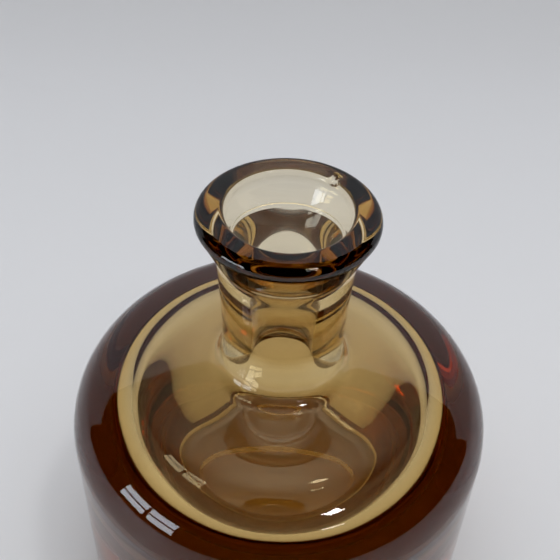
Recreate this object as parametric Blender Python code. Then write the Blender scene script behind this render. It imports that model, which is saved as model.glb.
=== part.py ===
"""Heavy amber glass bottle with a cylindrical body and a hot-applied lip.

Metres, +Z up. The bottle stands on z = 0 with its axis on the Z axis. It is modelled in the
zones in which the glassmaker works it, each a solid of revolution with a fine gap to the next.
"""

import math

import bpy
from mathutils import Vector, geometry

# Overall sizes
BODY_RADIUS = 0.060
CROWN_HEIGHT = 0.087  # standing plane to the top of the shoulder's outer round
NECK_LENGTH = 0.0447  # crown to the underside of the lip
LIP_HEIGHT = 0.012

# Glass thickness
BODY_WALL = 0.014  # at the shoulder; the chamber narrows from there to its floor
CROWN_WALL = 0.0042
BASE_THICKNESS = 0.030

# Body
SHOULDER_RADIUS = 0.018
SHOULDER_END_ANGLE = 70.0  # degrees of the shoulder's round, from the wall upwards
CHAMBER_SHOULDER_RADIUS = 0.0129
CHAMBER_NARROWING = 0.0105
CHAMBER_FLOOR_RADIUS = 0.006

# Crown, between the shoulder's round and the neck's foot
CROWN_PULL = 0.009
CEILING_PULL = 0.0072
CROWN_SLOPE = 12.0  # degrees below level where it leaves the neck
CEILING_SLOPE = 14.0

# Foot
FOOT_EDGE_RADIUS = 0.0048
FOOT_RING_WIDTH = 0.022
FOOT_HOLLOW_DEPTH = 0.0018
FOOT_HOLLOW_SLOPE = 0.006

# Neck
NECK_WAIST_RADIUS = 0.0166
NECK_WAIST_HEIGHT = 0.0132  # above the crown
NECK_TOP_RADIUS = 0.0183
NECK_FOOT_RADIUS = 0.0222
NECK_FOOT_HEIGHT = 0.0055
NECK_FOOT_PULL = 0.0054
NECK_FOOT_REACH = 0.0036
THROAT_RADIUS = 0.0084
THROAT_HEIGHT = 0.0156
THROAT_FOOT_RADIUS = 0.0186
THROAT_FOOT_DROP = 0.0012  # below the crown
THROAT_FOOT_PULL = 0.006
THROAT_FOOT_REACH = 0.0036

# Lip and mouth
LIP_BASE_RADIUS = 0.019
LIP_TOP_RADIUS = 0.0232
LIP_EDGE_RADIUS = 0.0024
LIP_BASE_EDGE_RADIUS = 0.0006
MOUTH_RADIUS = 0.0157
MOUTH_EDGE_RADIUS = 0.0014
MOUTH_DEPTH = 0.003  # straight part, from the lip's top
FUNNEL_DEPTH = 0.0175
FUNNEL_PULL = 0.0092  # how far the funnel keeps its first slope
FUNNEL_PULL_RADIUS = 0.011
FUNNEL_END_PULL = 0.006
BORE_TOP_RADIUS = 0.009

# Clearances and facets
PIECE_GAP = 0.0003
SEAM_DROP = 0.0018  # the body's seams lie this far past the rounds
NECK_SEAM_DROP = 0.005  # neck's waist down to the seam with the shoulder
TURN_STEPS = 64
MERGE_DISTANCE = 0.00001

# Heights worked out from the sizes above
LIP_BASE_Z = CROWN_HEIGHT + NECK_LENGTH
TOP_Z = LIP_BASE_Z + LIP_HEIGHT
WAIST_Z = CROWN_HEIGHT + NECK_WAIST_HEIGHT
THROAT_Z = CROWN_HEIGHT + THROAT_HEIGHT
MOUTH_FLOOR_Z = TOP_Z - MOUTH_DEPTH
CHAMBER_RADIUS = BODY_RADIUS - BODY_WALL
CEILING_Z = CROWN_HEIGHT - CROWN_WALL

# Seams between the zones
NECK_SEAM_Z = WAIST_Z - NECK_SEAM_DROP
SHOULDER_SEAM_Z = (
    min(CROWN_HEIGHT - SHOULDER_RADIUS, CEILING_Z - CHAMBER_SHOULDER_RADIUS) - SEAM_DROP
)
BASE_SEAM_Z = BASE_THICKNESS + CHAMBER_FLOOR_RADIUS + SEAM_DROP


def arc(centre_r, centre_z, radius, start, end, steps):
    """Points of a round, angles in degrees from the outward direction."""
    turns = [math.radians(start + (end - start) * i / steps) for i in range(steps + 1)]
    return [(centre_r + radius * math.cos(a), centre_z + radius * math.sin(a)) for a in turns]


def bend(start, start_pull, end_pull, end, steps):
    """Points of one smooth bend between two points, shaped by a pull point at each end."""
    corners = [Vector(p) for p in (start, start_pull, end_pull, end)]
    return [tuple(p) for p in geometry.interpolate_bezier(*corners, steps + 1)]


def towards(point, angle, reach):
    """The point this far from another, in a direction given in degrees below level."""
    turn = math.radians(angle)
    return (point[0] + reach * math.cos(turn), point[1] - reach * math.sin(turn))


def into_round(point, reach):
    """The pull point that makes a bend run into the shoulder's round without a kink."""
    return towards(point, 90.0 - SHOULDER_END_ANGLE, -reach)


def clip(outline, low, high):
    """The part of a downward outline between two heights, ending exactly on them."""

    def at(height):
        for (r0, z0), (r1, z1) in zip(outline, outline[1:]):
            if z0 + MERGE_DISTANCE >= height >= z1 and z0 > z1:
                return (r0 + (r1 - r0) * (z0 - height) / (z0 - z1), height)
        raise ValueError("the outline does not reach this height")

    inside = [p for p in outline if low + MERGE_DISTANCE < p[1] < high - MERGE_DISTANCE]
    return [at(high), *inside, at(low)]


def outside():
    """Outer line from under the lip down to the foot's rounded edge."""
    waist = (NECK_WAIST_RADIUS, WAIST_Z)
    third = (LIP_BASE_Z - WAIST_Z) / 3
    stem = bend(
        (NECK_TOP_RADIUS, LIP_BASE_Z),
        ((NECK_TOP_RADIUS + NECK_WAIST_RADIUS) / 2, LIP_BASE_Z - third),
        (NECK_WAIST_RADIUS, WAIST_Z + third),
        waist,
        5,
    )
    neck_foot = (NECK_FOOT_RADIUS, CROWN_HEIGHT + NECK_FOOT_HEIGHT)
    flare = bend(
        waist,
        (NECK_WAIST_RADIUS, WAIST_Z - NECK_FOOT_PULL),
        towards(neck_foot, CROWN_SLOPE, -NECK_FOOT_REACH),
        neck_foot,
        5,
    )
    round_off = arc(
        BODY_RADIUS - SHOULDER_RADIUS,
        CROWN_HEIGHT - SHOULDER_RADIUS,
        SHOULDER_RADIUS,
        SHOULDER_END_ANGLE,
        0,
        7,
    )
    crown = bend(
        neck_foot,
        towards(neck_foot, CROWN_SLOPE, CROWN_PULL),
        into_round(round_off[0], CROWN_PULL),
        round_off[0],
        5,
    )
    return [*stem, *flare[1:], *crown[1:], *round_off[1:], (BODY_RADIUS, 0.0)]


def chamber_lean():
    """Degrees that the chamber's wall leans in, so that it runs smoothly into both rounds."""
    run = CHAMBER_NARROWING + CHAMBER_FLOOR_RADIUS - CHAMBER_SHOULDER_RADIUS
    drop = CEILING_Z - CHAMBER_SHOULDER_RADIUS - BASE_THICKNESS - CHAMBER_FLOOR_RADIUS
    rounds = (CHAMBER_FLOOR_RADIUS - CHAMBER_SHOULDER_RADIUS) / math.hypot(run, drop)
    return math.degrees(math.acos(rounds) - math.atan2(drop, run))


def inside():
    """Inner line from the mouth down through the funnel and throat to the chamber's floor."""
    throat = (THROAT_RADIUS, THROAT_Z)
    bore_top = (BORE_TOP_RADIUS, MOUTH_FLOOR_Z - FUNNEL_DEPTH)
    funnel = bend(
        (MOUTH_RADIUS, MOUTH_FLOOR_Z),
        (FUNNEL_PULL_RADIUS, MOUTH_FLOOR_Z - FUNNEL_PULL),
        (BORE_TOP_RADIUS, bore_top[1] + FUNNEL_END_PULL),
        bore_top,
        8,
    )
    third = (bore_top[1] - THROAT_Z) / 3
    bore = bend(
        bore_top,
        (BORE_TOP_RADIUS, bore_top[1] - third),
        (THROAT_RADIUS, THROAT_Z + third),
        throat,
        4,
    )
    throat_foot = (THROAT_FOOT_RADIUS, CROWN_HEIGHT - THROAT_FOOT_DROP)
    flare = bend(
        throat,
        (THROAT_RADIUS, THROAT_Z - THROAT_FOOT_PULL),
        towards(throat_foot, CEILING_SLOPE, -THROAT_FOOT_REACH),
        throat_foot,
        6,
    )
    lean = chamber_lean()
    round_off = arc(
        CHAMBER_RADIUS - CHAMBER_SHOULDER_RADIUS,
        CEILING_Z - CHAMBER_SHOULDER_RADIUS,
        CHAMBER_SHOULDER_RADIUS,
        SHOULDER_END_ANGLE,
        -lean,
        8,
    )
    ceiling = bend(
        throat_foot,
        towards(throat_foot, CEILING_SLOPE, CEILING_PULL),
        into_round(round_off[0], CEILING_PULL),
        round_off[0],
        4,
    )
    floor = arc(
        CHAMBER_RADIUS - CHAMBER_NARROWING - CHAMBER_FLOOR_RADIUS,
        BASE_THICKNESS + CHAMBER_FLOOR_RADIUS,
        CHAMBER_FLOOR_RADIUS,
        -lean,
        -90,
        5,
    )
    return [*funnel, *bore[1:], *flare[1:], *ceiling[1:], *round_off[1:], *floor, (0.0, BASE_THICKNESS)]


def ring_outline(low, high):
    """A closed outline of the wall between two heights, down its outside and up its inside."""
    return clip(outside(), low, high) + clip(inside(), low, high)[::-1]


def lip_outline():
    """The lip: a flared band with rounded edges round the mouth and the top of the funnel."""
    rim_centre = TOP_Z - LIP_EDGE_RADIUS
    band = arc(LIP_TOP_RADIUS - LIP_EDGE_RADIUS, rim_centre, LIP_EDGE_RADIUS, 90, -10, 5)
    foot = arc(
        LIP_BASE_RADIUS - LIP_BASE_EDGE_RADIUS,
        LIP_BASE_Z + LIP_BASE_EDGE_RADIUS,
        LIP_BASE_EDGE_RADIUS,
        -20,
        -90,
        3,
    )
    funnel = clip(inside(), LIP_BASE_Z, MOUTH_FLOOR_Z)
    mouth = arc(
        MOUTH_RADIUS + MOUTH_EDGE_RADIUS,
        TOP_Z - MOUTH_EDGE_RADIUS,
        MOUTH_EDGE_RADIUS,
        180,
        90,
        3,
    )
    return [*band, *foot, *funnel[::-1], *mouth]


def base_outline():
    """The base: a thick bowl floor on a flat foot ring round a shallow ground hollow."""
    bowl = clip(inside()[:-1], BASE_THICKNESS, BASE_SEAM_Z)
    edge = arc(
        BODY_RADIUS - FOOT_EDGE_RADIUS, FOOT_EDGE_RADIUS, FOOT_EDGE_RADIUS, 0, -90, 4
    )
    ring_inner = BODY_RADIUS - FOOT_EDGE_RADIUS - FOOT_RING_WIDTH
    hollow = [
        (ring_inner, 0.0),
        (ring_inner - FOOT_HOLLOW_SLOPE, FOOT_HOLLOW_DEPTH),
        (0.0, FOOT_HOLLOW_DEPTH),
    ]
    return [(0.0, BASE_THICKNESS), *bowl[::-1], (BODY_RADIUS, BASE_SEAM_Z), *edge, *hollow]


def glass(name, colour):
    """Clear tinted glass, darker where the zone is thicker."""
    material = bpy.data.materials.new(name)
    material.use_nodes = True
    shader = material.node_tree.nodes["Principled BSDF"]
    shader.inputs["Base Color"].default_value = (*colour, 1.0)
    shader.inputs["Roughness"].default_value = 0.03
    shader.inputs["Metallic"].default_value = 0.0
    shader.inputs["IOR"].default_value = 1.5
    shader.inputs["Transmission Weight"].default_value = 0.6
    return material


def turned(name, outline, closed, colour):
    """One zone: its outline turned about the bottle's axis."""
    mesh = bpy.data.meshes.new(name)
    edges = [(i, i + 1) for i in range(len(outline) - 1)]
    if closed:
        edges.append((len(outline) - 1, 0))
    mesh.from_pydata([(r, 0.0, z) for r, z in outline], edges, [])
    piece = bpy.data.objects.new(name, mesh)
    bpy.context.scene.collection.objects.link(piece)
    screw = piece.modifiers.new("Turn", "SCREW")
    screw.axis = "Z"
    screw.angle = math.tau
    screw.steps = TURN_STEPS
    screw.render_steps = TURN_STEPS
    screw.use_smooth_shade = True
    screw.use_merge_vertices = True
    screw.merge_threshold = MERGE_DISTANCE
    mesh.materials.append(glass(name + "_glass", colour))
    return piece


def clear_scene():
    for old in list(bpy.data.objects):
        bpy.data.objects.remove(old)


def main():
    clear_scene()
    turned("base", base_outline(), False, (0.16, 0.07, 0.02))
    wall = ring_outline(BASE_SEAM_Z + PIECE_GAP, SHOULDER_SEAM_Z)
    turned("body_wall", wall, True, (0.20, 0.09, 0.03))
    shoulder = ring_outline(SHOULDER_SEAM_Z + PIECE_GAP, NECK_SEAM_Z)
    turned("shoulder", shoulder, True, (0.42, 0.29, 0.15))
    neck = ring_outline(NECK_SEAM_Z + PIECE_GAP, LIP_BASE_Z - PIECE_GAP)
    turned("neck", neck, True, (0.36, 0.22, 0.08))
    turned("lip_ring", lip_outline(), True, (0.10, 0.05, 0.03))


main()
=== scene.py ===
"""Heavy amber glass bottle: the finished glass round its CAD frame, and a plain studio."""

import math

import bmesh
import bpy
from mathutils import Matrix, Vector
from mathutils.geometry import interpolate_bezier


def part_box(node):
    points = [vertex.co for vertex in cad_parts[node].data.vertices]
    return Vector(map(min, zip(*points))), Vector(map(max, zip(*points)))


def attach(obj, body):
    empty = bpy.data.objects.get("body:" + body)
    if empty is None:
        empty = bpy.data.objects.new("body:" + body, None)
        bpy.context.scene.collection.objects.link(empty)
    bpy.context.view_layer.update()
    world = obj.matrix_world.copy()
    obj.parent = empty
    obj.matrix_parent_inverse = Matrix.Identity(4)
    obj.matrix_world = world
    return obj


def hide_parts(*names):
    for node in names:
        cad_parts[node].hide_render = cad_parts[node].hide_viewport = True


bl_info = {
    "name": "Amber Glass Bottle",
    "version": (1, 0, 0),
    "blender": (4, 5, 0),
    "location": "3D View > Sidebar > Bottle",
    "description": "Turns a thick-walled amber glass bottle and sets it in a plain studio",
    "category": "Object",
}

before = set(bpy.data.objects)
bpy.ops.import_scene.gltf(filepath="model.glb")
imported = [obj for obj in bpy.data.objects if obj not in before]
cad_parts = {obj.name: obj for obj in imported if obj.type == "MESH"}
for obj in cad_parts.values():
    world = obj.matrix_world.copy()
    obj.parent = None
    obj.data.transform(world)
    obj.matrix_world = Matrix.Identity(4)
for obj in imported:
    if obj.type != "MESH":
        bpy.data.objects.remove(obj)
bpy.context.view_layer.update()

# Sizes and places read from the frame
BODY_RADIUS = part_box("base")[1].x
LIP_TOP_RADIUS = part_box("lip_ring")[1].x
LIP_BASE_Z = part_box("lip_ring")[0].z
TOP_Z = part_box("lip_ring")[1].z

NECK_LENGTH = 0.0447
CROWN_Z = LIP_BASE_Z - NECK_LENGTH

# The glass's outline, in metres and degrees
FOOT_HOLLOW_DEPTH = 0.0018
FOOT_HOLLOW_SLOPE = 0.006
FOOT_RING_WIDTH = 0.022
FOOT_EDGE_RADIUS = 0.0048
SHOULDER_RADIUS = 0.018
SHOULDER_END_ANGLE = 70.0
CROWN_PULL = 0.009
CROWN_SLOPE = 12.0
NECK_FOOT_RADIUS = 0.0222
NECK_FOOT_HEIGHT = 0.0055
NECK_FOOT_PULL = 0.0054
NECK_FOOT_REACH = 0.0036
NECK_WAIST_HEIGHT = 0.0132
CEILING_SLOPE = 14.0
CEILING_PULL = 0.0072
THROAT_HEIGHT = 0.0156
THROAT_FOOT_RADIUS = 0.0186
THROAT_FOOT_DROP = 0.0012
THROAT_FOOT_PULL = 0.006
THROAT_FOOT_REACH = 0.0036
CHAMBER_SHOULDER_RADIUS = 0.0129
CHAMBER_NARROWING = 0.0105
CHAMBER_FLOOR_RADIUS = 0.006
LIP_EDGE_RADIUS = 0.0024
LIP_BASE_EDGE_RADIUS = 0.0006
MOUTH_EDGE_RADIUS = 0.0014
MOUTH_DEPTH = 0.003
FUNNEL_DEPTH = 0.0175
FUNNEL_PULL = 0.0092
FUNNEL_PULL_RADIUS = 0.011
FUNNEL_END_PULL = 0.006
BORE_TOP_RADIUS = 0.009

# Degrees above level at which the lip's rounds run into its flared band
LIP_BAND_TURN = -10.0

# How many steps each stretch of the outline has
BEND_POINTS = 14
FUNNEL_POINTS = 26
ARC_POINTS = 12
FLOOR_POINTS = 8
LIP_FOOT_POINTS = 6
LIP_BAND_POINTS = 6
MOUTH_EDGE_POINTS = 8
CHAMBER_SIDE_POINTS = 8

# The turned surface: its waves fade out below the still height
MERGE_DISTANCE = 0.00002
STILL_HEIGHT = BODY_RADIUS / 5
WAVE_DETAIL = 1.0
WAVE_ROUGHNESS = 0.4

# The nick in the mouth's inner edge: its place and size, and how far round it the mesh is refined
NICK_TURN = 48.5
NICK_RADIUS = 0.0031
NICK_INSET = 0.0008
NICK_LIFT = 0.0017
NICK_REACH = 1.5
NICK_CUTS = 4
NICK_RIPPLE = 0.03
NICK_RIPPLES = 26.0

# The finish: depths and heights in metres, scales in noise cells to the metre
SMEAR_SCALE = 55.0
SMEAR_DETAIL = 4.0
SMEAR_TWIST = 0.6
SMEAR_START = 0.52
SMEAR_END = 0.75
GROUND_HEIGHT = 0.0001
POLISHED_HEIGHT = 0.00035
GROUND_ROUGHNESS = 0.25
GRIT_ROUGHNESS = 0.25
GRIT_SCALE = 2600.0
GRIT_DEPTH = 0.00003
RIPPLE_SCALE = 140.0
RIPPLE_DETAIL = 2.0

# The pale floor and the wall that it bends up into
SWEEP_WIDTH = 3.0
SWEEP_FRONT = -1.5
SWEEP_BACK = 0.45
SWEEP_BEND = 0.15
SWEEP_HEIGHT = 0.6
SWEEP_DROP = 0.0003
SWEEP_ROUGHNESS = 0.6

# The lights: name, azimuth, height angle, distance, width, tallness, brightness and colour, with
# angles in degrees; azimuth runs from +Y towards +X
LIGHTS = (
    ("high_panel", 122.0, 71.0, 1.4, 0.15, 0.10, 34.0, (1.0, 0.99, 0.97)),
    ("front_panel", 145.0, 52.0, 1.3, 0.20, 0.035, 14.0, (1.0, 0.99, 0.97)),
)
# Soft glows of the surroundings: azimuth and height in degrees, tightness, brightness
GLOWS = (
    (0.0, 86.0, 6.0, 2.1),
    (-80.0, 35.0, 8.0, 0.5),
    (80.0, 35.0, 8.0, 0.6),
)
# The window: azimuth, height and distance of its middle, then the panes and the bars between them
WINDOW_PLACE = (-120.0, 13.0, 1.3)
WINDOW_PANE = (0.31, 0.19)
WINDOW_BAR = 0.05
WINDOW_PANES = (2, 2)
WINDOW_BRIGHTNESS = 7.0
WINDOW_COLOUR = (0.82, 0.91, 1.0)
SKY_COLOUR = (0.96, 0.98, 1.0)

# The camera: its place from the crown's centre, its degrees below level and of roll, and its lens
CAMERA_PLACE = (-0.00144, -0.1725, 0.1908)
CAMERA_PITCH = 42.4
CAMERA_ROLL = 2.4
CAMERA_LENS = 57.857
CAMERA_SENSOR = 36.0
CAMERA_CLIP_START = 0.01


# ---------------------------------------------------------------- outline


def arc(centre, radius, start, end, points=ARC_POINTS):
    """Points along a round, from one angle to another in degrees."""
    steps = [math.radians(start + (end - start) * i / points) for i in range(points + 1)]
    return [
        (centre[0] + radius * math.cos(turn), centre[1] + radius * math.sin(turn))
        for turn in steps
    ]


def straight(start, end, steps):
    """Points evenly along a straight line, without its two ends."""
    return [
        (start[0] + (end[0] - start[0]) * i / steps, start[1] + (end[1] - start[1]) * i / steps)
        for i in range(1, steps)
    ]


def bend(start, pull_start, pull_end, end, points=BEND_POINTS):
    """Points along a smooth bend between two places, by way of two pull points."""
    corners = [Vector((x, z, 0.0)) for x, z in (start, pull_start, pull_end, end)]
    return [(point.x, point.y) for point in interpolate_bezier(*corners, points)]


def towards(point, angle, reach):
    """The point this far from another, in a direction given in degrees below level."""
    turn = math.radians(angle)
    return (point[0] + reach * math.cos(turn), point[1] - reach * math.sin(turn))


def underside():
    """The hollow in the foot, the flat ring that it stands on and the foot's rounded edge."""
    ring_outside = BODY_RADIUS - FOOT_EDGE_RADIUS
    ring_inside = ring_outside - FOOT_RING_WIDTH
    hollow = ring_inside - FOOT_HOLLOW_SLOPE
    middle = (0.0, FOOT_HOLLOW_DEPTH)
    flat = straight(middle, (hollow, FOOT_HOLLOW_DEPTH), FLOOR_POINTS)
    slope = bend(
        (hollow, FOOT_HOLLOW_DEPTH),
        (hollow + FOOT_HOLLOW_SLOPE / 2, FOOT_HOLLOW_DEPTH),
        (ring_inside - FOOT_HOLLOW_SLOPE / 3, 0.0),
        (ring_inside, 0.0),
    )
    edge = arc((ring_outside, FOOT_EDGE_RADIUS), FOOT_EDGE_RADIUS, -90.0, 0.0)
    return [middle, *flat, *slope, *edge]


def outside(sizes):
    """From the top of the foot's edge up the wall, over the shoulder and up the neck."""
    rounded = arc(
        (BODY_RADIUS - SHOULDER_RADIUS, CROWN_Z - SHOULDER_RADIUS),
        SHOULDER_RADIUS,
        0.0,
        SHOULDER_END_ANGLE,
        2 * ARC_POINTS,
    )
    wall_foot = (BODY_RADIUS, FOOT_EDGE_RADIUS)
    wall = straight(wall_foot, (BODY_RADIUS, CROWN_Z - SHOULDER_RADIUS), BEND_POINTS)
    neck_foot = (NECK_FOOT_RADIUS, CROWN_Z + NECK_FOOT_HEIGHT)
    crown = bend(
        rounded[-1],
        towards(rounded[-1], 90.0 - SHOULDER_END_ANGLE, -CROWN_PULL),
        towards(neck_foot, CROWN_SLOPE, CROWN_PULL),
        neck_foot,
        2 * BEND_POINTS,
    )
    waist = (sizes.neck_waist_radius, CROWN_Z + NECK_WAIST_HEIGHT)
    flare = bend(
        neck_foot,
        towards(neck_foot, CROWN_SLOPE, -NECK_FOOT_REACH),
        (waist[0], waist[1] - NECK_FOOT_PULL),
        waist,
    )
    third = (LIP_BASE_Z - waist[1]) / 3
    stem = bend(
        waist,
        (waist[0], waist[1] + third),
        ((sizes.neck_top_radius + waist[0]) / 2, LIP_BASE_Z - third),
        (sizes.neck_top_radius, LIP_BASE_Z),
        2 * BEND_POINTS,
    )
    return [*wall, *rounded, *crown[1:], *flare[1:], *stem[1:]]


def lip(sizes):
    """The applied lip: a flared band with a rounded rim that turns over into the mouth."""
    foot = arc(
        (sizes.lip_base_radius - LIP_BASE_EDGE_RADIUS, LIP_BASE_Z + LIP_BASE_EDGE_RADIUS),
        LIP_BASE_EDGE_RADIUS,
        -90.0,
        LIP_BAND_TURN,
        LIP_FOOT_POINTS,
    )
    rim = arc(
        (LIP_TOP_RADIUS - LIP_EDGE_RADIUS, TOP_Z - LIP_EDGE_RADIUS),
        LIP_EDGE_RADIUS,
        LIP_BAND_TURN,
        90.0,
    )
    mouth = arc(
        (sizes.mouth_radius + MOUTH_EDGE_RADIUS, TOP_Z - MOUTH_EDGE_RADIUS),
        MOUTH_EDGE_RADIUS,
        90.0,
        180.0,
        MOUTH_EDGE_POINTS,
    )
    band = straight(foot[-1], rim[0], LIP_BAND_POINTS)
    return [*foot, *band, *rim, *mouth]


def chamber_lean(ceiling_z, floor_z):
    """Degrees that the chamber's wall leans in, so that it runs smoothly into both rounds."""
    run = CHAMBER_NARROWING + CHAMBER_FLOOR_RADIUS - CHAMBER_SHOULDER_RADIUS
    drop = ceiling_z - CHAMBER_SHOULDER_RADIUS - floor_z - CHAMBER_FLOOR_RADIUS
    rounds = (CHAMBER_FLOOR_RADIUS - CHAMBER_SHOULDER_RADIUS) / math.hypot(run, drop)
    return math.degrees(math.acos(rounds) - math.atan2(drop, run))


def inside(sizes):
    """From the mouth down the funnel and throat, out under the crown and down to the floor."""
    throat = (sizes.throat_radius, CROWN_Z + THROAT_HEIGHT)
    mouth_floor = TOP_Z - MOUTH_DEPTH
    bore_top = (BORE_TOP_RADIUS, mouth_floor - FUNNEL_DEPTH)
    funnel = bend(
        (sizes.mouth_radius, mouth_floor),
        (FUNNEL_PULL_RADIUS, mouth_floor - FUNNEL_PULL),
        (bore_top[0], bore_top[1] + FUNNEL_END_PULL),
        bore_top,
        FUNNEL_POINTS,
    )
    third = (bore_top[1] - throat[1]) / 3
    bore = bend(
        bore_top,
        (bore_top[0], bore_top[1] - third),
        (throat[0], throat[1] + third),
        throat,
        FUNNEL_POINTS,
    )
    throat_foot = (THROAT_FOOT_RADIUS, CROWN_Z - THROAT_FOOT_DROP)
    flare = bend(
        throat,
        (throat[0], throat[1] - THROAT_FOOT_PULL),
        towards(throat_foot, CEILING_SLOPE, -THROAT_FOOT_REACH),
        throat_foot,
    )
    chamber_radius = BODY_RADIUS - sizes.body_wall
    ceiling_z = CROWN_Z - sizes.crown_wall
    lean = chamber_lean(ceiling_z, sizes.base_thickness)
    rounded = arc(
        (chamber_radius - CHAMBER_SHOULDER_RADIUS, ceiling_z - CHAMBER_SHOULDER_RADIUS),
        CHAMBER_SHOULDER_RADIUS,
        SHOULDER_END_ANGLE,
        -lean,
        2 * ARC_POINTS,
    )
    ceiling = bend(
        throat_foot,
        towards(throat_foot, CEILING_SLOPE, CEILING_PULL),
        towards(rounded[0], 90.0 - SHOULDER_END_ANGLE, -CEILING_PULL),
        rounded[0],
        2 * BEND_POINTS,
    )
    floor_radius = chamber_radius - CHAMBER_NARROWING
    corner = arc(
        (floor_radius - CHAMBER_FLOOR_RADIUS, sizes.base_thickness + CHAMBER_FLOOR_RADIUS),
        CHAMBER_FLOOR_RADIUS,
        -lean,
        -90.0,
    )
    side = straight(rounded[-1], corner[0], CHAMBER_SIDE_POINTS)
    flat_edge = (floor_radius - CHAMBER_FLOOR_RADIUS, sizes.base_thickness)
    middle = (0.0, sizes.base_thickness)
    floor = [*straight(flat_edge, middle, FLOOR_POINTS), middle]
    return [*funnel, *bore[1:], *flare[1:], *ceiling[1:], *rounded[1:], *side, *corner, *floor]


# ------------------------------------------------------------ node helpers


class Value:
    """One socket of a node tree that takes part in arithmetic."""

    def __init__(self, tree, socket):
        self.tree = tree
        self.socket = socket

    def other(self, name):
        """Another output of the same node."""
        return Value(self.tree, self.socket.node.outputs[name])

    def __add__(self, value):
        return self.tree.maths("ADD", self, value)

    def __radd__(self, value):
        return self.tree.maths("ADD", value, self)

    def __sub__(self, value):
        return self.tree.maths("SUBTRACT", self, value)

    def __mul__(self, value):
        return self.tree.maths("MULTIPLY", self, value)

    def __truediv__(self, value):
        return self.tree.maths("DIVIDE", self, value)

    def __rtruediv__(self, value):
        return self.tree.maths("DIVIDE", value, self)


class Tree:
    """A node tree that is filled one node at a time."""

    def __init__(self, tree):
        self.tree = tree

    def node(self, kind, settings=None, inputs=None, output=0):
        """Adds a node: its settings first, then its sockets, by name or in order."""
        made = self.tree.nodes.new(kind)
        for name, value in (settings or {}).items():
            setattr(made, name, value)
        named = inputs or {}
        pairs = named.items() if isinstance(named, dict) else enumerate(named)
        for key, value in pairs:
            self.feed(made.inputs[key], value)
        return Value(self, made.outputs[output]) if made.outputs else made

    def maths(self, operation, *values):
        """Adds a node for one step of arithmetic."""
        return self.node("ShaderNodeMath", {"operation": operation}, values)

    def feed(self, socket, value):
        """Links a value to a socket, or sets the socket when the value is plain."""
        if isinstance(value, Value):
            self.tree.links.new(value.socket, socket)
        else:
            socket.default_value = value


# --------------------------------------------------------------- the glass


def turning_tree():
    """Geometry nodes that turn an outline round the Z axis into one closed glass surface."""
    group = bpy.data.node_groups.new("turned_glass", "GeometryNodeTree")
    face = group.interface
    face.new_socket("Outline", in_out="INPUT", socket_type="NodeSocketGeometry")
    face.new_socket("Steps Around", in_out="INPUT", socket_type="NodeSocketInt")
    face.new_socket("Wave Height", in_out="INPUT", socket_type="NodeSocketFloat")
    face.new_socket("Wave Length", in_out="INPUT", socket_type="NodeSocketFloat")
    face.new_socket("Still Height", in_out="INPUT", socket_type="NodeSocketFloat")
    face.new_socket("Glass", in_out="INPUT", socket_type="NodeSocketMaterial")
    face.new_socket("Geometry", in_out="OUTPUT", socket_type="NodeSocketGeometry")
    tree = Tree(group)
    outline = tree.node("NodeGroupInput", output="Outline")
    steps = outline.other("Steps Around")
    points = tree.node(
        "GeometryNodeAttributeDomainSize", {"component": "CURVE"}, [outline], "Point Count"
    )
    grid = tree.node(
        "GeometryNodeMeshGrid", inputs={"Vertices X": steps + 1, "Vertices Y": points}
    )
    index = tree.node("GeometryNodeInputIndex")
    step = tree.maths("FLOOR", (index + 0.5) / points)
    row = index - step * points
    place = tree.node("GeometryNodeInputPosition")
    on_outline = tree.node(
        "GeometryNodeSampleIndex",
        {"data_type": "FLOAT_VECTOR", "domain": "POINT"},
        {"Geometry": outline, "Value": place, "Index": row},
    )
    radius = tree.node("ShaderNodeSeparateXYZ", inputs=[on_outline])
    turn = step / steps * math.tau
    turned = tree.node(
        "ShaderNodeCombineXYZ",
        inputs={
            "X": radius * tree.maths("COSINE", turn),
            "Y": radius * tree.maths("SINE", turn),
            "Z": radius.other("Z"),
        },
    )
    surface = tree.node("GeometryNodeSetPosition", inputs={"Geometry": grid, "Position": turned})
    closed = tree.node(
        "GeometryNodeMergeByDistance", inputs={"Geometry": surface, "Distance": MERGE_DISTANCE}
    )
    wave = tree.node(
        "ShaderNodeTexNoise",
        {"noise_dimensions": "3D"},
        {
            "Vector": place,
            "Scale": 1.0 / outline.other("Wave Length"),
            "Detail": WAVE_DETAIL,
            "Roughness": WAVE_ROUGHNESS,
        },
    )
    height = tree.node("ShaderNodeSeparateXYZ", inputs=[place], output="Z")
    free = tree.node(
        "ShaderNodeMapRange",
        {"interpolation_type": "SMOOTHSTEP"},
        {"Value": height, "From Min": 0.0, "From Max": outline.other("Still Height")},
    )
    lift = (wave - 0.5) * outline.other("Wave Height") * free
    offset = tree.node(
        "ShaderNodeVectorMath",
        {"operation": "SCALE"},
        {"Vector": tree.node("GeometryNodeInputNormal"), "Scale": lift},
    )
    waved = tree.node("GeometryNodeSetPosition", inputs={"Geometry": closed, "Offset": offset})
    smooth = tree.node("GeometryNodeSetShadeSmooth", inputs={"Geometry": waved})
    real = tree.node("GeometryNodeRealizeInstances", inputs=[smooth])
    glass = tree.node(
        "GeometryNodeSetMaterial",
        inputs={"Geometry": real, "Material": outline.other("Glass")},
    )
    tree.node("NodeGroupOutput", inputs={"Geometry": glass})
    return group


def outline_curve(points):
    """The outline as an open curve in the XZ plane, on the +X side."""
    curve = bpy.data.curves.new("outline", "CURVE")
    curve.dimensions = "3D"
    spline = curve.splines.new("POLY")
    spline.points.add(len(points) - 1)
    for knot, (x, z) in zip(spline.points, points):
        knot.co = (x, 0.0, z, 1.0)
    made = bpy.data.objects.new("outline", curve)
    bpy.context.scene.collection.objects.link(made)
    return made


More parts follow.
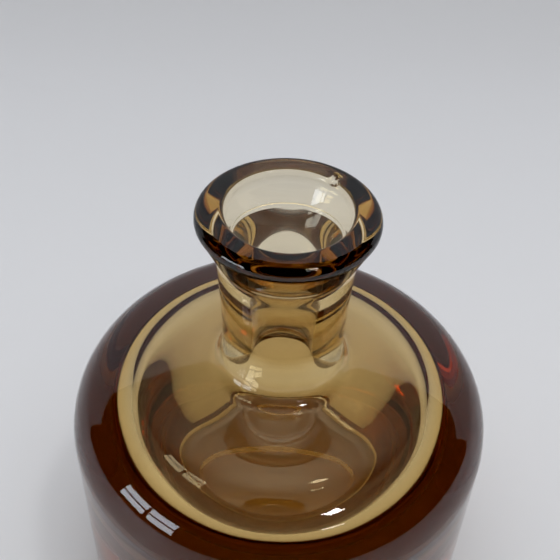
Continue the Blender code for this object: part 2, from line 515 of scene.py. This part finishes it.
def turn_outline(name, points, values):
    """Turns an outline with the geometry nodes and returns the result as a plain mesh object."""
    made = outline_curve(points)
    modifier = made.modifiers.new("turned_glass", "NODES")
    modifier.node_group = turning_tree()
    for item in modifier.node_group.interface.items_tree:
        if item.item_type == "SOCKET" and item.name in values:
            modifier[item.identifier] = values[item.name]
    made.update_tag()
    graph = bpy.context.evaluated_depsgraph_get()
    mesh = bpy.data.meshes.new_from_object(made.evaluated_get(graph), depsgraph=graph)
    bpy.data.objects.remove(made)
    mesh.name = name
    piece = bpy.data.objects.new(name, mesh)
    bpy.context.scene.collection.objects.link(piece)
    return piece


# ---------------------------------------------------------------- materials


def amber_glass(look):
    """Clear smoke-amber glass: the colour is in its depth, with a ground foot and faint smears."""
    material = bpy.data.materials.new("amber_glass")
    material.use_nodes = True
    material.node_tree.nodes.clear()
    tree = Tree(material.node_tree)
    place = tree.node("ShaderNodeTexCoord", output="Object")
    height = tree.node("ShaderNodeSeparateXYZ", inputs=[place], output="Z")
    smear = tree.node(
        "ShaderNodeTexNoise",
        inputs={
            "Vector": place,
            "Scale": SMEAR_SCALE,
            "Detail": SMEAR_DETAIL,
            "Distortion": SMEAR_TWIST,
        },
    )
    smears = tree.node(
        "ShaderNodeMapRange",
        inputs={
            "Value": smear,
            "From Min": SMEAR_START,
            "From Max": SMEAR_END,
            "To Max": look.smear,
        },
    )
    grit = tree.node("ShaderNodeTexNoise", inputs={"Vector": place, "Scale": GRIT_SCALE})
    ground = tree.node(
        "ShaderNodeMapRange",
        inputs={
            "Value": height,
            "From Min": GROUND_HEIGHT,
            "From Max": POLISHED_HEIGHT,
            "To Min": 1.0,
            "To Max": 0.0,
        },
    )
    roughness = smears + ground * (GROUND_ROUGHNESS + grit * GRIT_ROUGHNESS)
    ripple = tree.node(
        "ShaderNodeTexNoise",
        inputs={"Vector": place, "Scale": RIPPLE_SCALE, "Detail": RIPPLE_DETAIL},
    )
    relief = ripple * (look.ripple / GRIT_DEPTH) + grit * ground
    bump = tree.node(
        "ShaderNodeBump", inputs={"Strength": 1.0, "Distance": GRIT_DEPTH, "Height": relief}
    )
    shader = tree.node(
        "ShaderNodeBsdfPrincipled",
        inputs={
            "Base Color": (1.0, 1.0, 1.0, 1.0),
            "Roughness": roughness,
            "IOR": look.bending,
            "Transmission Weight": 1.0,
            "Normal": bump,
        },
    )
    depth = tree.node(
        "ShaderNodeVolumeAbsorption",
        inputs={"Color": (*look.tint, 1.0), "Density": look.depth},
    )
    tree.node("ShaderNodeOutputMaterial", inputs={"Surface": shader, "Volume": depth})
    return material


def plain_finish(name, colour, roughness):
    """An even matt finish, for the floor and wall round the bottle."""
    material = bpy.data.materials.new(name)
    material.use_nodes = True
    material.node_tree.nodes.clear()
    tree = Tree(material.node_tree)
    shader = tree.node(
        "ShaderNodeBsdfPrincipled",
        inputs={"Base Color": (*colour, 1.0), "Roughness": roughness},
    )
    tree.node("ShaderNodeOutputMaterial", inputs={"Surface": shader})
    return material


# ------------------------------------------------------------- properties


class BottleSizes(bpy.types.PropertyGroup):
    """Sizes of the glass that can be changed by themselves."""

    body_wall: bpy.props.FloatProperty(
        name="Body Wall", description="Glass thickness at the shoulder",
        default=0.014, min=0.004, unit="LENGTH",
    )
    crown_wall: bpy.props.FloatProperty(
        name="Crown Wall", description="Glass thickness under the crown",
        default=0.0042, min=0.002, unit="LENGTH",
    )
    base_thickness: bpy.props.FloatProperty(
        name="Base Thickness", description="Standing plane to the chamber's floor",
        default=0.030, min=0.006, unit="LENGTH",
    )
    neck_waist_radius: bpy.props.FloatProperty(
        name="Neck Waist Radius", description="Outer radius at the neck's narrowest place",
        default=0.0166, min=0.010, unit="LENGTH",
    )
    neck_top_radius: bpy.props.FloatProperty(
        name="Neck Top Radius", description="Outer radius of the neck under the lip",
        default=0.0183, min=0.010, unit="LENGTH",
    )
    throat_radius: bpy.props.FloatProperty(
        name="Throat Radius", description="Inner radius at the narrowest place",
        default=0.0084, min=0.003, unit="LENGTH",
    )
    lip_base_radius: bpy.props.FloatProperty(
        name="Lip Base Radius", description="Outer radius at the lip's lower edge",
        default=0.019, min=0.010, unit="LENGTH",
    )
    mouth_radius: bpy.props.FloatProperty(
        name="Mouth Radius", description="Inner radius at the mouth",
        default=0.0157, min=0.006, unit="LENGTH",
    )
    steps_around: bpy.props.IntProperty(
        name="Steps Around", description="Faces round the axis", default=192, min=48,
    )
    wave_height: bpy.props.FloatProperty(
        name="Wave Height", description="How far the hand-made surface rises and falls",
        default=0.0003, min=0.0, unit="LENGTH",
    )
    wave_length: bpy.props.FloatProperty(
        name="Wave Length", description="Distance between the surface's waves",
        default=0.030, min=0.005, unit="LENGTH",
    )


class GlassLook(bpy.types.PropertyGroup):
    """Finish of the glass."""

    tint: bpy.props.FloatVectorProperty(
        name="Tint", description="Colour that light keeps as it goes through the glass",
        default=(0.775, 0.565, 0.02), min=0.0, max=1.0, subtype="COLOR",
    )
    depth: bpy.props.FloatProperty(
        name="Depth", description="How strongly the glass takes light in, for each metre",
        default=62.0, min=0.0,
    )
    bending: bpy.props.FloatProperty(
        name="Bending", description="Index of refraction", default=1.5, min=1.0, max=2.0,
    )
    smear: bpy.props.FloatProperty(
        name="Smear", description="Roughness of the faint smears", default=0.02, min=0.0, max=0.3,
    )
    ripple: bpy.props.FloatProperty(
        name="Ripple", description="Depth of the fine ripple in the surface",
        default=0.000004, min=0.0, unit="LENGTH",
    )


class StudioSetup(bpy.types.PropertyGroup):
    """Light, floor and camera."""

    light_scale: bpy.props.FloatProperty(
        name="Light Scale", description="Brightness of lights and surroundings", default=1.06,
        min=0.0,
    )
    sky_low: bpy.props.FloatProperty(
        name="Low Sky", description="Brightness of the surroundings at the horizon", default=0.8,
    )
    sky_high: bpy.props.FloatProperty(
        name="High Sky", description="Brightness of the surroundings overhead", default=0.03,
    )
    sky_start: bpy.props.FloatProperty(
        name="Sky Start", description="Sine of the height where the surroundings darken",
        default=0.05,
    )
    sky_end: bpy.props.FloatProperty(
        name="Sky End", description="Sine of the height where the surroundings are darkest",
        default=0.25,
    )
    floor_colour: bpy.props.FloatVectorProperty(
        name="Floor Colour", description="Colour of the pale floor",
        default=(0.8, 0.8, 0.82), min=0.0, max=1.0, subtype="COLOR",
    )


# -------------------------------------------------------------- operators


class BOTTLE_OT_glass(bpy.types.Operator):
    """Turn the bottle's glass, from foot to lip, as one continuous surface"""

    bl_idname = "bottle.glass"
    bl_label = "Turn Glass"

    def execute(self, context):
        sizes = context.scene.bottle_sizes
        look = context.scene.bottle_glass
        points = [*underside(), *outside(sizes), *lip(sizes), *inside(sizes)]
        glass = amber_glass(look)
        piece = turn_outline(
            "bottle_glass",
            points,
            {
                "Steps Around": sizes.steps_around,
                "Wave Height": sizes.wave_height,
                "Wave Length": sizes.wave_length,
                "Still Height": STILL_HEIGHT,
                "Glass": glass,
            },
        )
        if not piece.data.polygons:
            raise RuntimeError("the outline did not turn into a surface")
        nick_rim(piece.data, sizes)
        face_out(piece.data)
        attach(piece, "root")
        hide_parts("base", "body_wall", "shoulder", "neck", "lip_ring")
        return {"FINISHED"}


def nick_rim(mesh, sizes):
    """Scoops a small shell-shaped nick with fine ripples out of the mouth's inner edge."""
    turn = math.radians(NICK_TURN)
    reach = sizes.mouth_radius - NICK_INSET
    centre = Vector((reach * math.cos(turn), reach * math.sin(turn), TOP_Z + NICK_LIFT))
    work = bmesh.new()
    work.from_mesh(mesh)
    near = [
        edge
        for edge in work.edges
        if max((end.co - centre).length for end in edge.verts) < NICK_RADIUS * NICK_REACH
    ]
    bmesh.ops.subdivide_edges(work, edges=near, cuts=NICK_CUTS, use_grid_fill=True)
    for vert in work.verts:
        away = vert.co - centre
        if away.length < NICK_RADIUS:
            ripple = 1.0 + NICK_RIPPLE * math.sin(NICK_RIPPLES * away.x / NICK_RADIUS)
            vert.co = centre + away.normalized() * NICK_RADIUS * ripple
    work.to_mesh(mesh)
    work.free()


def face_out(mesh):
    """Makes the faces of a closed mesh point out of the glass."""
    work = bmesh.new()
    work.from_mesh(mesh)
    bmesh.ops.recalc_face_normals(work, faces=work.faces)
    if work.calc_volume(signed=True) < 0.0:
        bmesh.ops.reverse_faces(work, faces=work.faces)
    for face in work.faces:
        face.smooth = True
    work.to_mesh(mesh)
    work.free()


class BOTTLE_OT_studio(bpy.types.Operator):
    """Lay the pale sweep, hang the lights and the window and place the camera"""

    bl_idname = "bottle.studio"
    bl_label = "Set Up Studio"

    def execute(self, context):
        setup = context.scene.bottle_studio
        lay_sweep(setup)
        light_world(setup)
        for light in LIGHTS:
            hang_light(setup.light_scale, *light)
        hang_window(setup.light_scale)
        place_camera(context.scene)
        return {"FINISHED"}


def lay_sweep(setup):
    """A pale floor that bends up into a wall behind the bottle."""
    bend_side = arc((SWEEP_BACK - SWEEP_BEND, SWEEP_BEND), SWEEP_BEND, -90.0, 0.0)
    line = [(SWEEP_FRONT, 0.0), *bend_side, (SWEEP_BACK, SWEEP_HEIGHT)]
    half = SWEEP_WIDTH / 2
    places = [(side * half, y, z - SWEEP_DROP) for y, z in line for side in (-1, 1)]
    faces = [(2 * i, 2 * i + 1, 2 * i + 3, 2 * i + 2) for i in range(len(line) - 1)]
    mesh = bpy.data.meshes.new("sweep")
    mesh.from_pydata(places, [], faces)
    mesh.shade_smooth()
    sweep = bpy.data.objects.new("sweep", mesh)
    bpy.context.scene.collection.objects.link(sweep)
    mesh.materials.append(plain_finish("pale_sweep", setup.floor_colour, SWEEP_ROUGHNESS))


def way_to(azimuth, height):
    """The direction at an azimuth from +Y towards +X and a height above level, in degrees."""
    across, up = math.radians(azimuth), math.radians(height)
    return Vector((math.sin(across) * math.cos(up), math.cos(across) * math.cos(up), math.sin(up)))


def hang_light(scale, name, azimuth, height, distance, width, tall, brightness, colour):
    """A rectangular light, placed round the bottle and pointed at its crown."""
    aim = Vector((0.0, 0.0, CROWN_Z))
    way = way_to(azimuth, height)
    light = bpy.data.lights.new(name, "AREA")
    light.shape = "RECTANGLE"
    light.size = width
    light.size_y = tall
    light.energy = scale * brightness * width * tall * math.pi
    light.color = colour
    made = bpy.data.objects.new(name, light)
    bpy.context.scene.collection.objects.link(made)
    made.location = aim + way * distance
    made.rotation_euler = (-way).to_track_quat("-Z", "Y").to_euler()
    return made


def hang_window(scale):
    """A window of separate panes that reflects in the shoulder and leaves the floor unlit."""
    azimuth, height, distance = WINDOW_PLACE
    width, tall = WINDOW_PANE
    columns, rows = WINDOW_PANES
    for column in range(columns):
        for row in range(rows):
            across = (column - (columns - 1) / 2) * (width + WINDOW_BAR)
            up = (row - (rows - 1) / 2) * (tall + WINDOW_BAR)
            pane = hang_light(
                scale,
                f"window_pane_{column}_{row}",
                azimuth + math.degrees(across / distance),
                height + math.degrees(up / distance),
                distance,
                width,
                tall,
                WINDOW_BRIGHTNESS,
                WINDOW_COLOUR,
            )
            pane.visible_diffuse = False


def light_world(setup):
    """Surroundings, pale at the horizon, that glow softly overhead and to the sides.

    They are hidden from reflections, which only the lights and the window give.
    """
    world = bpy.data.worlds.new("surroundings")
    bpy.context.scene.world = world
    world.use_nodes = True
    world.cycles_visibility.glossy = False
    world.node_tree.nodes.clear()
    tree = Tree(world.node_tree)
    direction = tree.node("ShaderNodeTexCoord", output="Generated")
    up = tree.node("ShaderNodeSeparateXYZ", inputs=[direction], output="Z")
    strength = tree.node(
        "ShaderNodeMapRange",
        {"interpolation_type": "SMOOTHSTEP"},
        {
            "Value": up,
            "From Min": setup.sky_start,
            "From Max": setup.sky_end,
            "To Min": setup.sky_low,
            "To Max": setup.sky_high,
        },
    )
    for azimuth, height, tightness, brightness in GLOWS:
        along = tree.node(
            "ShaderNodeVectorMath",
            {"operation": "DOT_PRODUCT"},
            [direction, way_to(azimuth, height)],
            "Value",
        )
        near = tree.maths("MAXIMUM", along, 0.0)
        strength = strength + tree.maths("POWER", near, tightness) * brightness
    background = tree.node(
        "ShaderNodeBackground",
        inputs={"Color": (*SKY_COLOUR, 1.0), "Strength": strength * setup.light_scale},
    )
    tree.node("ShaderNodeOutputWorld", inputs={"Surface": background})


def place_camera(scene):
    """The camera looks down over the lip, slightly rolled."""
    camera = bpy.data.cameras.new("camera")
    camera.sensor_width = CAMERA_SENSOR
    camera.lens = CAMERA_LENS
    camera.clip_start = CAMERA_CLIP_START
    made = bpy.data.objects.new("camera", camera)
    scene.collection.objects.link(made)
    pitch = Matrix.Rotation(math.radians(90.0 - CAMERA_PITCH), 4, "X")
    roll = Matrix.Rotation(math.radians(CAMERA_ROLL), 4, "Z")
    place = Vector(CAMERA_PLACE) + Vector((0.0, 0.0, CROWN_Z))
    made.matrix_world = Matrix.Translation(place) @ pitch @ roll
    scene.camera = made
    scene.view_settings.view_transform = "Standard"


class BOTTLE_PT_sidebar(bpy.types.Panel):
    """Lists the bottle's sizes, its finish and the steps that make it"""

    bl_idname = "BOTTLE_PT_sidebar"
    bl_label = "Amber Glass Bottle"
    bl_space_type = "VIEW_3D"
    bl_region_type = "UI"
    bl_category = "Bottle"

    def draw(self, context):
        for group in ("bottle_sizes", "bottle_glass", "bottle_studio"):
            settings = getattr(context.scene, group)
            box = self.layout.box()
            for name in settings.__annotations__:
                box.prop(settings, name)
        self.layout.operator("bottle.glass")
        self.layout.operator("bottle.studio")


CLASSES = (
    BottleSizes,
    GlassLook,
    StudioSetup,
    BOTTLE_OT_glass,
    BOTTLE_OT_studio,
    BOTTLE_PT_sidebar,
)


def register():
    for kind in CLASSES:
        bpy.utils.register_class(kind)
    bpy.types.Scene.bottle_sizes = bpy.props.PointerProperty(type=BottleSizes)
    bpy.types.Scene.bottle_glass = bpy.props.PointerProperty(type=GlassLook)
    bpy.types.Scene.bottle_studio = bpy.props.PointerProperty(type=StudioSetup)


def unregister():
    del bpy.types.Scene.bottle_studio
    del bpy.types.Scene.bottle_glass
    del bpy.types.Scene.bottle_sizes
    for kind in reversed(CLASSES):
        bpy.utils.unregister_class(kind)


def main():
    register()
    bpy.ops.bottle.studio()
    bpy.ops.bottle.glass()


if __name__ == "__main__":
    main()
